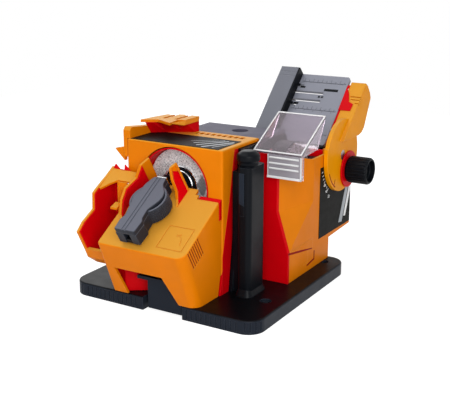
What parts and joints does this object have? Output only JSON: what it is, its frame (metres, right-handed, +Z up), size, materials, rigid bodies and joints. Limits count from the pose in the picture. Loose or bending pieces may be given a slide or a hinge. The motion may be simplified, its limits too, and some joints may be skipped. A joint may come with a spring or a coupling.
{
  "type": "multi-purpose bench sharpener",
  "caption": "Tabletop electric sharpener with a slide-on drill head, knife slots, a guarded wheel and a tilting table with a sliding fence for chisels.",
  "frame": {"origin": "centre of the base plate's footprint, on the resting plane", "axes": "+X to the right along the front edge, seen by the user; +Y backwards, away from the user; +Z up"},
  "size_m": [0.209, 0.2894, 0.194],
  "materials": {
    "charcoal_plastic": "fine textured",
    "black_plastic": "fine textured",
    "orange_plastic": "satin moulded",
    "red_plastic": "satin moulded",
    "grey_plastic": "satin moulded",
    "pad_rubber": "matte",
    "abrasive": "coarse bonded grit",
    "steel": "turned",
    "bright_steel": "polished",
    "bearing_bronze": "satin",
    "ceramic": "ground ceramic",
    "dresser": "coarse bonded grit",
    "label_foil": "printed foil",
    "clear_plastic": "clear polished"
  },
  "bodies": {
    "base": {"base_plate": "charcoal_plastic", "base_pads": "pad_rubber", "front_rail": "charcoal_plastic", "housing_screws": "steel", "drill_housing": "orange_plastic", "drill_housing_back": "red_plastic", "wheel_well": "red_plastic", "top_label": "label_foil", "knife_station": "orange_plastic", "knife_guide_body": "red_plastic", "knife_guide": "orange_plastic", "knife_hones": "ceramic", "motor_housing": "black_plastic", "motor_top": "charcoal_plastic", "motor_can": "steel", "motor_saddles": "black_plastic", "spindle_bearings": "bearing_bronze", "spindle_bracket": "black_plastic", "chisel_housing": "orange_plastic", "chisel_front": "red_plastic", "side_label": "label_foil", "guard_pin": "steel", "pivot_pin": "steel", "dressing_stick": "dresser", "switch_bezel": "black_plastic", "switch_pin": "steel", "cable_gland": "black_plastic"},
    "rotor": {"motor_shaft": "steel", "motor_gear": "steel", "chisel_wheel": "abrasive", "chisel_flanges": "steel"},
    "spindle": {"spindle_shaft": "steel", "spindle_gear": "steel", "drill_wheel": "abrasive", "wheel_hub": "black_plastic", "hub_ring": "bright_steel", "wheel_nut": "steel"},
    "head": {"drill_head": "orange_plastic", "head_liner": "red_plastic", "cradle_liners": "red_plastic", "chute": "orange_plastic", "chute_liner": "red_plastic", "holder_screw": "steel"},
    "holder": {"drill_holder": "charcoal_plastic", "nose_ring": "bright_steel", "collet": "steel"},
    "guard": {"guard": "clear_plastic"},
    "table_arm": {"guide_table": "grey_plastic", "table_foot": "black_plastic", "arm_liner": "red_plastic", "swing_arm": "orange_plastic", "arm_screws": "steel"},
    "fence": {"fence": "charcoal_plastic", "fence_face": "black_plastic", "fence_clamp": "black_plastic"},
    "knob": {"tilt_knob": "black_plastic", "knob_washer": "red_plastic", "clamp_bolt": "steel"},
    "cap": {"storage_cap": "black_plastic"},
    "switch": {"switch_rocker": "red_plastic"}
  },
  "joints": [
    {"name": "rotor_spin", "type": "hinge", "parent": "base", "child": "rotor", "pos_m": [0, 0.04, 0.1055], "axis": [1, 0, 0], "continuous": true},
    {"name": "spindle_spin", "type": "hinge", "parent": "base", "child": "spindle", "pos_m": [-0.01, 0, 0.1055], "axis": [0, 1, 0], "continuous": true},
    {"name": "head_slide", "type": "slide", "parent": "base", "child": "head", "axis": [0, -1, 0], "range_m": [0, 0.035]},
    {"name": "holder_swing", "type": "hinge", "parent": "head", "child": "holder", "pos_m": [-0.014, -0.07684, 0.08805], "axis": [0, -0.5299, 0.848], "range_deg": [-1, 14]},
    {"name": "guard_lift", "type": "hinge", "parent": "base", "child": "guard", "pos_m": [0.07, -0.0013, 0.117], "axis": [1, 0, 0], "range_deg": [0, 30]},
    {"name": "table_tilt", "type": "hinge", "parent": "base", "child": "table_arm", "pos_m": [0.0828, 0.1076, 0.1157], "axis": [1, 0, 0], "range_deg": [-20, 15]},
    {"name": "fence_slide", "type": "slide", "parent": "table_arm", "child": "fence", "axis": [1, 0, 0], "range_m": [0, 0.034]},
    {"name": "knob_turn", "type": "hinge", "parent": "base", "child": "knob", "pos_m": [0.098, 0.12, 0.0993], "axis": [1, 0, 0], "range_deg": [0, 270]},
    {"name": "cap_pull", "type": "slide", "parent": "base", "child": "cap", "axis": [0, 0, 1], "range_m": [0, 0.02]},
    {"name": "switch_rock", "type": "hinge", "parent": "base", "child": "switch", "pos_m": [0.002, 0.0665, 0.07], "axis": [1, 0, 0], "range_deg": [0, 13]}
  ],
  "couplings": [
    {"joint": "spindle_spin", "follows": "rotor_spin", "ratio": 1}
  ]
}
